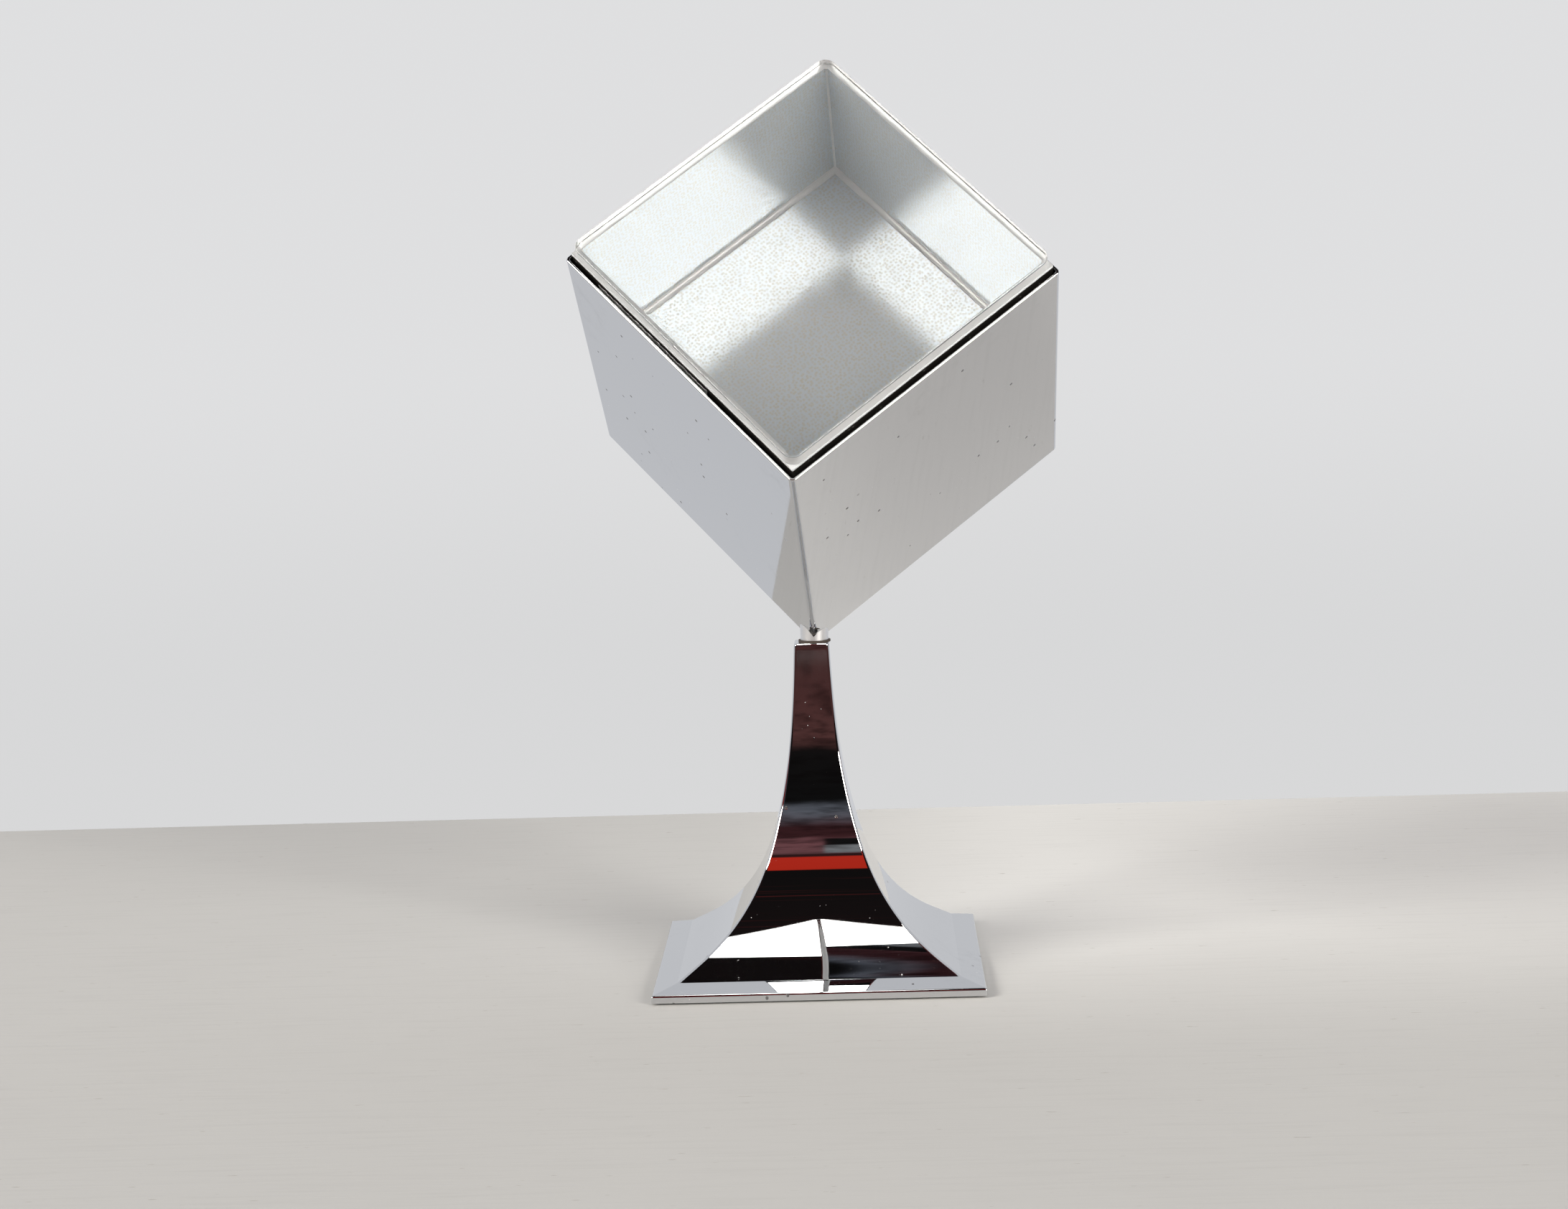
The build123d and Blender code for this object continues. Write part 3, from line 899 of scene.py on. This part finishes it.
    def build(self, chrome: Finish, felt: Finish, steel: Finish) -> None:
        """Makes the stand's pieces."""
        pedestal = add_piece(Piece.PEDESTAL, self.casting(), chrome, STAND)
        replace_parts(pedestal, "pedestal_shell")
        smooth(pedestal, 50.0)
        pad = add_piece(Piece.FELT, self.felt(), felt, STAND)
        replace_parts(pad, "felt_pad")
        smooth(pad, 60.0)
        corners = FourCorners(self.screw_place)
        screws = corners.copies(self._screw(), Piece.SCREWS, steel)
        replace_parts(add_piece(Piece.SCREWS, screws, steel, STAND), "cover_screws")
        bosses = corners.copies(self._boss(), Piece.BOSSES, chrome)
        add_piece(Piece.BOSSES, bosses, chrome, STAND)


@dataclass
class FourCorners:
    """Geometry nodes that repeat a mesh at the corners of a square."""

    reach: float
    seed: int = 4

    def tree(self) -> bpy.types.NodeTree:
        """The node group, made once."""
        made = bpy.data.node_groups.get("Four Corners")
        if made is not None:
            return made
        made = bpy.data.node_groups.new("Four Corners", "GeometryNodeTree")
        face = made.interface
        face.new_socket("Geometry", in_out="INPUT", socket_type="NodeSocketGeometry")
        face.new_socket("Reach", in_out="INPUT", socket_type="NodeSocketFloat")
        face.new_socket("Turn Seed", in_out="INPUT", socket_type="NodeSocketInt")
        face.new_socket("Material", in_out="INPUT", socket_type="NodeSocketMaterial")
        face.new_socket("Geometry", in_out="OUTPUT", socket_type="NodeSocketGeometry")
        graph = Graph(made)
        given = {
            name: graph.make("NodeGroupInput", output=name)
            for name in ("Geometry", "Reach", "Turn Seed", "Material")
        }
        side = given["Reach"] * 2.0
        grid = graph.make(
            "GeometryNodeMeshGrid",
            None,
            {"Size X": side, "Size Y": side, "Vertices X": 2, "Vertices Y": 2},
        )
        turn = graph.make(
            "FunctionNodeRandomValue",
            {"data_type": "FLOAT"},
            {"Min": 0.0, "Max": math.tau, "Seed": given["Turn Seed"]},
            "Value",
        )
        facing = graph.vector(0.0, 0.0, self._float_output(turn))
        placed = graph.make(
            "GeometryNodeInstanceOnPoints",
            None,
            {"Points": grid, "Instance": given["Geometry"], "Rotation": facing},
        )
        solid = graph.make("GeometryNodeRealizeInstances", None, {0: placed})
        dressed = graph.make(
            "GeometryNodeSetMaterial", None, {"Geometry": solid, "Material": given["Material"]}
        )
        graph.make("NodeGroupOutput", None, {0: dressed})
        return made

    @staticmethod
    def _float_output(value: Signal) -> Signal:
        """The number output of a Random Value node, which has one output for each kind."""
        node = value.socket.node
        live = next(s for s in node.outputs if s.enabled and s.type == "VALUE")
        return Signal(value.graph, live)

    def copies(self, mesh: bpy.types.Mesh, name: Piece, finish: Finish) -> bpy.types.Mesh:
        """Four copies of a mesh as one plain mesh.

        Args:
            mesh: what is repeated, drawn around the axis.
            name: the name of the result.
            finish: its finish.

        Returns:
            The joined mesh.
        """
        holder = bpy.data.objects.new(f"{name.value}_source", mesh)
        bpy.context.scene.collection.objects.link(holder)
        modifier = holder.modifiers.new("Four Corners", "NODES")
        modifier.node_group = self.tree()
        values = {"Reach": self.reach, "Turn Seed": self.seed, "Material": finish.material()}
        for item in modifier.node_group.interface.items_tree:
            if item.in_out == "INPUT" and item.name in values:
                modifier[item.identifier] = values[item.name]
        depsgraph = bpy.context.evaluated_depsgraph_get()
        result = bpy.data.meshes.new_from_object(holder.evaluated_get(depsgraph))
        holder.modifiers.clear()
        bpy.data.objects.remove(holder)
        result.name = name.value
        return result


# ---------------------------------------------------------------- the cube


@dataclass
class Cube:
    """The casing, the neck and everything seen through the clear plate."""

    space: CubeSpace
    plate_corner: float = 3.8 * MM
    plate_edge: float = 0.5 * MM
    chip_reach: float = 3.2 * MM
    chip_depth: float = 1.3 * MM
    sheet: float = 1.0 * MM
    floor_seam: float = 1.5 * MM
    wall_seam: float = 0.55 * MM
    foil_thickness: float = 0.06 * MM
    tape_thickness: float = 0.03 * MM
    tape_wrap: float = 1.0 * MM
    tape_corner: float = 0.15 * MM
    arc_steps: int = 8
    side_slope: float = 0.2

    def plate(self) -> bpy.types.Mesh:
        """The clear plate, chipped at its left corner."""
        low, high = self.space.box("cover_plate")
        half = (high.x - low.x) / 2
        thick = high.z - low.z
        shell = RingShell()
        levels = [(self.plate_edge, 0.0), (0.15 * MM, 0.1 * MM), (0.0, 0.3 * MM)]
        levels += [(0.0, thick * share) for share in (0.3, 0.5, 0.7)]
        for k in range(self.arc_steps + 1):
            part = math.pi / 2 * k / self.arc_steps
            inset = self.plate_edge * (1 - math.cos(part))
            levels.append((inset, thick - self.plate_edge * (1 - math.sin(part))))
        levels += [(1.2 * MM, thick), (2.2 * MM, thick)]
        for inset, height in levels:
            outline = rounded_square(half - inset, self.plate_corner - inset, 2 * self.arc_steps)
            shell.add(outline, height)
        mesh = shell.mesh(Piece.PLATE.value)
        self._chip(mesh, Vector((-half, half, thick)))
        self.space.settle(mesh, Vector(((low.x + high.x) / 2, (low.y + high.y) / 2, low.z)))
        return mesh

    def tape(self) -> bpy.types.Mesh:
        """The thin pale tape that holds the plate on the tray's edge."""
        low, high = self.space.box("mirror_tray")
        floor = self.space.box("mirror_floor")[0]
        half = (high.x - low.x) / 2
        inner = half - (floor.x - low.x) - self.sheet
        thin = self.tape_thickness
        shell = RingShell()
        for width, height in (
            (half + thin, -self.tape_wrap),
            (half + thin, thin),
            (inner, thin),
            (inner, -thin),
            (half - thin, -thin),
            (half - thin, -self.tape_wrap),
        ):
            shell.add(rounded_square(width, self.tape_corner, 2), height)
        mesh = shell.mesh(Piece.TAPE.value, loop=True)
        self.space.settle(mesh, Vector(((low.x + high.x) / 2, (low.y + high.y) / 2, high.z)))
        return mesh

    def _chip(self, mesh: bpy.types.Mesh, corner: Vector) -> None:
        """Breaks the plate's edge away near a corner."""
        middle = Vector((corner.x * 0.93, corner.y * 0.93, corner.z))
        for vertex in mesh.vertices:
            near = 1 - (vertex.co - middle).length / self.chip_reach
            if near > 0 and vertex.co.z > corner.z * 0.35:
                rag = 0.55 + 0.9 * noise.noise(vertex.co * 1500.0)
                pull = Vector((-corner.x, -corner.y, 0)).normalized() * 0.7 + Vector((0, 0, -0.7))
                vertex.co += pull * self.chip_depth * near * rag

    def _bar(
        self,
        body: bmesh.types.BMesh,
        start: Vector,
        end: Vector,
        sides: tuple[Vector, Vector],
        radius: float,
    ) -> None:
        """Adds a quarter-round bar that fills the corner between two walls.

        Args:
            body: the mesh that grows.
            start: the corner line's first point.
            end: its last point.
            sides: the directions out of the two walls.
            radius: the bar's radius.
        """
        steps = 6
        profile = [Vector()]
        for k in range(steps + 1):
            turn = math.pi / 2 * k / steps
            profile.append(sides[0] * math.cos(turn) * radius + sides[1] * math.sin(turn) * radius)
        rows = [[body.verts.new(place + spot) for spot in profile] for place in (start, end)]
        count = len(profile)
        for k in range(count):
            n = (k + 1) % count
            body.faces.new((rows[0][k], rows[0][n], rows[1][n], rows[1][k]))
        body.faces.new(rows[0])
        body.faces.new(rows[1])

    def seams(self) -> bpy.types.Mesh:
        """The sealed seams along the floor and up the tray's corners."""
        low, high = self.space.box("mirror_floor")
        top = self.space.box("mirror_near_left")[1].z
        lo = Vector((low.x + self.sheet, low.y + self.sheet, high.z))
        hi = Vector((high.x - self.sheet, high.y - self.sheet, top))
        north = Vector((0, 1, 0))
        ends_x, ends_y = ((lo.x, EAST), (hi.x, -EAST)), ((lo.y, north), (hi.y, -north))
        body = bmesh.new()
        for x, inward in ends_x:
            start, end = Vector((x, lo.y, lo.z)), Vector((x, hi.y, lo.z))
            self._bar(body, start, end, (inward, UP), self.floor_seam)
        for y, inward in ends_y:
            start, end = Vector((lo.x, y, lo.z)), Vector((hi.x, y, lo.z))
            self._bar(body, start, end, (inward, UP), self.floor_seam)
        for x, along in ends_x:
            for y, across in ends_y:
                start, end = Vector((x, y, lo.z)), Vector((x, y, hi.z))
                self._bar(body, start, end, (along, across), self.wall_seam)
        mesh = closed_mesh(body, Piece.SEAMS.value)
        self.space.settle(mesh)
        return mesh

    def foil(self) -> bpy.types.Mesh:
        """The crinkled foil that packs the tray to the left wall."""
        low, high = self.space.box("foil_shim")
        columns, rows = 150, 16
        middle = (low.x + high.x) / 2
        swing = (high.x - low.x) / 2 - self.foil_thickness
        body = bmesh.new()
        grid = []
        for c in range(columns + 1):
            y = low.y + (high.y - low.y) * c / columns
            ragged = high.z - 0.8 * MM * abs(noise.noise(Vector((y * 420.0, 3.0, 0.0))))
            line = []
            for r in range(rows + 1):
                z = low.z + (ragged - low.z) * r / rows
                fold = noise.noise(Vector((y * 900.0, z * 500.0, 7.0)))
                crease = noise.noise(Vector((y * 260.0, z * 160.0, 2.0)))
                x = middle + swing * max(-1.0, min(1.0, 1.3 * fold + 0.9 * crease))
                line.append(body.verts.new((x, y, z)))
            grid.append(line)
        for here, there in zip(grid, grid[1:]):
            for r in range(rows):
                body.faces.new((here[r], there[r], there[r + 1], here[r + 1]))
        mesh = closed_mesh(body, Piece.FOIL.value)
        self.space.settle(mesh)
        return mesh

    def build(self, look: Mapping[str, Finish]) -> None:
        """Makes the cube's pieces, with finishes by the record's slots."""
        chrome, neck = look["chrome_plate"], look["neck_chrome"]
        seam = Finish("seam sealer", (0.97, 0.97, 0.96), 0.35, 0.15)
        pale = Finish("pale tape", (0.86, 0.885, 0.90), 0.35, 0.3)
        edge = SawnEdge("sawn clear edge", (0.90, 0.91, 0.92), 0.35)
        skin = merged_copy("cube_shell", Piece.CASING.value)
        casing = add_piece(Piece.CASING, skin, chrome, CUBE)
        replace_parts(casing, "cube_shell")
        smooth(casing)
        skin = merged_copy("neck_tube", Piece.NECK.value)
        tube = add_piece(Piece.NECK, skin, neck, CUBE)
        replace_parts(tube, "neck_tube")
        smooth(tube)
        plate = add_piece(Piece.PLATE, self.plate(), look["clear_acrylic"], CUBE)
        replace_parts(plate, "cover_plate")
        smooth(plate, 50.0)
        plate.data.materials.append(edge.material())
        for face in plate.data.polygons:
            upright = abs(face.normal.dot(self.space.out)) < self.side_slope
            face.material_index = int(upright and face.normal.y < 0)
        smooth(add_piece(Piece.TAPE, self.tape(), pale, CUBE))
        smooth(add_piece(Piece.SEAMS, self.seams(), seam, CUBE))
        packing = add_piece(Piece.FOIL, self.foil(), look["foil"], CUBE)
        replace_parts(packing, "foil_shim")
        thickness = packing.modifiers.new("Foil Thickness", "SOLIDIFY")
        thickness.thickness = self.foil_thickness
        thickness.offset = 0.0


# ---------------------------------------------------------------- the CAD pieces in view


def dress(look: Mapping[str, Finish]) -> None:
    """Gives every CAD node the finish of its material slot in the record."""
    slots = {n["node"]: n["material_slot"] for n in frame["record"]["subparts"]}
    for name, node in frame["nodes"].items():
        finish = look[slots[name]]
        for slot in node.material_slots:
            slot.material = finish.material()
        LOG.info("dressed %s in %s", name, finish.name)


# ---------------------------------------------------------------- the studio


@dataclass
class Softbox:
    """A soft light far away, square on to its direction.

    The azimuth is counted from the front towards the right, and the angles are in degrees.
    The reaches are half the sides, at unit distance.
    """

    azimuth: float
    elevation: float
    width: float
    height: float
    strength: float

    SOFT = 0.94

    def glow(self, graph: Graph, ray: Signal) -> Signal:
        """How bright the softbox is along a ray."""
        turn, climb = math.radians(self.azimuth), math.radians(self.elevation)
        level = Vector((math.sin(turn), -math.cos(turn), 0.0))
        ahead = level * math.cos(climb) + UP * math.sin(climb)
        side = ahead.cross(UP).normalized()
        rise = side.cross(ahead)
        facing = graph.along(ahead, ray)
        away = facing.larger(0.05)
        across = abs(graph.along(side, ray) / away)
        up = abs(graph.along(rise, ray) / away)
        within = 1 - across.step(self.width * self.SOFT, self.width)
        inside = within * (1 - up.step(self.height * self.SOFT, self.height))
        return inside * facing.over(0.1) * self.strength


@dataclass
class Studio:
    """A pale shelf, the room around it as a sky, two softboxes, and the camera."""

    wall: Colour = (0.738, 0.740, 0.748)
    wall_foot_painted_shade: Colour = (0.685, 0.687, 0.692)
    beyond: Colour = (0.645, 0.655, 0.680)
    lamp_tint: Colour = (1.0, 0.975, 0.91)
    side_reach: float = 2.4
    front_reach: float = 2.2
    shelf_back: float = 0.247
    shelf_thickness: float = 0.03
    eye: Vector = field(default_factory=lambda: Vector((0.0156, -0.8874, 0.2164)))
    gaze: Vector = field(default_factory=lambda: Vector((-0.0264, 0.9926, -0.1183)))
    roll: float = math.radians(1.75)
    lens: float = 67.9
    left_box: Softbox = field(default_factory=lambda: Softbox(-56.0, 28.3, 0.288, 0.17, 16.0))
    right_box: Softbox = field(default_factory=lambda: Softbox(40.0, 20.0, 0.235, 0.20, 16.0))

    ROOM_LOW = -20.0
    ROOM_HIGH = 96.0

    def _room(self, graph: Graph, ray: Signal, angle: Signal) -> Signal:
        """The dark room in front, in bands by height."""
        bands = (
            (-20.0, (0.030, 0.022, 0.020)),
            (-5.0, (0.060, 0.030, 0.028)),
            (-1.0, (0.090, 0.036, 0.034)),
            (3.8, (0.110, 0.045, 0.042)),
            (5.4, (0.008, 0.007, 0.007)),
            (13.4, (0.006, 0.006, 0.006)),
            (14.8, (0.130, 0.140, 0.165)),
            (16.8, (0.090, 0.060, 0.070)),
            (17.4, (0.045, 0.016, 0.018)),
            (19.8, (0.050, 0.017, 0.019)),
            (20.8, (0.200, 0.080, 0.088)),
            (25.4, (0.170, 0.072, 0.078)),
            (25.8, (0.030, 0.012, 0.012)),
            (26.7, (0.030, 0.012, 0.012)),
            (27.0, (0.560, 0.030, 0.016)),
            (33.0, (0.540, 0.028, 0.014)),
            (33.3, (0.007, 0.006, 0.006)),
            (96.0, (0.012, 0.008, 0.008)),
        )
        span = self.ROOM_HIGH - self.ROOM_LOW
        stops = [((a - self.ROOM_LOW) / span, colour) for a, colour in bands]
        ragged = graph.grain(ray, 34.0, 4.0, 0.7) - 0.5
        share = (angle + ragged * angle.band(2.0, 23.0, 2.0) * 2.4 - self.ROOM_LOW) / span
        room = graph.make("ShaderNodeValToRGB", {"stops": stops}, {0: share}, "Color")
        beside = graph.along(EAST, ray).step(-0.0155, -0.0135)
        pane = graph.mix(angle.step(22.2, 22.8), (0.008, 0.008, 0.008), (0.23, 0.24, 0.25))
        full = graph.mix(beside * angle.band(20.4, 25.4, 0.3), room, pane)
        shade = graph.grain(ray, 55.0, 3.0, 0.65).step(0.42, 0.66) * (1 - angle.step(25.0, 25.6))
        rails = graph.streaks(ray, EAST, 30.0, 9.0).step(0.58, 0.72)
        rail = rails * angle.step(33.5, 36.0)
        lined = graph.mix(rail, full, (0.060, 0.012, 0.012))
        return graph.mix(shade * 0.55, lined, (0.004, 0.003, 0.003))

    def sky(self) -> None:
        """Builds the surroundings: pale walls, a dark front and two softboxes."""
        world = bpy.data.worlds.new("studio")
        bpy.context.scene.world = world
        world.use_nodes = True
        graph = Graph(world.node_tree)
        ray = graph.make("ShaderNodeTexCoord", output="Generated")
        ahead = graph.along(Vector((0, -1, 0)), ray)
        up = graph.along(UP, ray)
        aside = abs(graph.along(EAST, ray))
        angle = up.angle_to(ahead)
        front = angle.band(self.ROOM_LOW, self.ROOM_HIGH, 3.0) * (1 - aside.step(0.965, 0.99))
        room = self._room(graph, ray, angle)
        around = graph.mix(front, self.beyond, room)
        glow = self.left_box.glow(graph, ray) + self.right_box.glow(graph, ray)
        warm = graph.vector(*(glow * share for share in self.lamp_tint))
        lamp = graph.make(
            "ShaderNodeMix",
            {"data_type": "RGBA", "blend_type": "ADD"},
            {0: 1.0, 6: around, 7: warm},
            2,
        )
        seen = graph.make("ShaderNodeLightPath", output="Is Camera Ray")
        # Painted shade: the backdrop that the camera sees darkens at its foot, near the shelf.
        plain = graph.mix(up.step(-0.14, -0.03), self.wall_foot_painted_shade, self.wall)
        colour = graph.mix(seen, lamp, plain)
        background = graph.make("ShaderNodeBackground", None, {"Color": colour, "Strength": 1.0})
        graph.make("ShaderNodeOutputWorld", None, {"Surface": background})

    def shelf(self) -> None:
        """The pale shelf that the object stands on."""
        x, front, back = self.side_reach, -self.front_reach, self.shelf_back
        outline = np.array(((-x, front), (x, front), (x, back), (-x, back)))
        shell = RingShell()
        shell.add(outline, 0.0)
        shell.add(outline, -self.shelf_thickness)
        mesh = shell.mesh("shelf")
        shelf = bpy.data.objects.new("shelf", mesh)
        bpy.context.scene.collection.objects.link(shelf)
        mesh.materials.append(Limewash("limewash", (0.575, 0.571, 0.560), 0.75).material())

    def camera(self) -> None:
        """The camera, a little above the stand and looking slightly down."""
        data = bpy.data.cameras.new("camera")
        data.lens = self.lens
        data.clip_start = 0.01
        camera = bpy.data.objects.new("camera", data)
        bpy.context.scene.collection.objects.link(camera)
        ahead = self.gaze.normalized()
        right = ahead.cross(UP).normalized()
        up = right.cross(ahead)
        level = Matrix((right, up, -ahead)).transposed()
        camera.matrix_world = (
            Matrix.Translation(self.eye)
            @ Matrix.Rotation(self.roll, 4, ahead)
            @ level.to_4x4()
        )
        bpy.context.scene.camera = camera

    def build(self) -> None:
        """Sets up the room, the shelf and the camera."""
        self.sky()
        self.shelf()
        self.camera()
        bpy.context.scene.view_settings.view_transform = "Standard"


@dataclass(frozen=True)
class Limewash(Finish):
    """Limewashed wood: warm white with faint grain and a few dark flecks, made brighter towards the
    back right as painted light from the wall behind.
    """

    def surface(self, graph: Graph, point: Signal) -> dict[str, Any]:
        """Grain along the shelf, over painted light that brightens its back right."""
        # Painted light: the colour rises by a third towards the back right, standing in for light
        # from the wall behind.
        aside = graph.along(EAST, point).step(-0.06, 0.09)
        painted_light_back = graph.along(Vector((0, 1, 0)), point).step(-0.14, 0.09)
        pale = graph.mix(aside * painted_light_back, self.colour, times(self.colour, 1.33))
        broad = graph.grain(point, 6.0, 3.0)
        grain = graph.streaks(point, EAST, 420.0, 14.0)
        fleck = graph.streaks(point, EAST, 700.0, 5.0).step(0.70, 0.78)
        tint = graph.mix(broad * 0.07, pale, (0.0, 0.0, 0.0))
        grained = graph.mix(grain.step(0.45, 0.8) * 0.04, tint, (0.0, 0.0, 0.0))
        return {
            "Base Color": graph.mix(fleck * 0.6, grained, (0.30, 0.27, 0.24)),
            "Roughness": self.roughness,
            "Normal": graph.bump(grain, 0.08 * MM),
        }


def finishes(space: CubeSpace) -> dict[str, Finish]:
    """The finish of each material slot in the record."""
    # The sheets' blue tint is a painted reflection of the pale room around them.
    sheet = (0.825, 0.885, 0.945)
    return {
        "chrome_plate": Chrome("bright chrome", (0.672, 0.680, 0.695), 0.02),
        "neck_chrome": Chrome("dulled chrome", (0.78, 0.78, 0.79), 0.36, smudge=0.12),
        "ballast_iron": Cast("cast iron", (0.10, 0.10, 0.10), 0.7, 0.6),
        "cover_sheet": Finish("black sheet", (0.04, 0.04, 0.045), 0.5),
        "plated_steel": Turned("plated steel", (0.62, 0.61, 0.58), 0.25),
        "felt": Felt("green felt", (0.035, 0.060, 0.045), 0.95),
        "bush_nylon": Finish("natural nylon", (0.72, 0.70, 0.64), 0.45),
        "dark_rubber": Finish("fibre washer", (0.045, 0.032, 0.024), 0.7),
        "cast_alloy": Cast("cast alloy", (0.50, 0.50, 0.51), 0.45, 1.0),
        "black_tray": SatinBlack("satin black", (0.012, 0.011, 0.010), 0.25),
        "riser_wood": SawnWood("softwood", (0.62, 0.46, 0.28), 0.7),
        "floor_mirror": DottedMirror(
            "dotted floor mirror", sheet, 0.15, across=space.right, along=space.left
        ),
        "wall_mirror": DottedMirror(
            "dotted wall mirror", sheet, 0.10, across=space.right + space.left, along=space.out
        ),
        "clear_acrylic": ClearPlate("clear plate", (1.0, 1.0, 1.0), 0.0),
        "foil": Foil("bright foil", (0.95, 0.95, 0.95), 0.32),
    }


def main() -> None:
    """Builds the object and its studio."""
    logging.basicConfig(level=logging.INFO, format="%(name)s: %(message)s")
    space = CubeSpace("mirror_floor", "cube_shell")
    look = finishes(space)
    dress(look)
    Stand().build(look["chrome_plate"], look["felt"], look["plated_steel"])
    Cube(space).build(look)
    Studio().build()


if __name__ == "__main__":
    main()
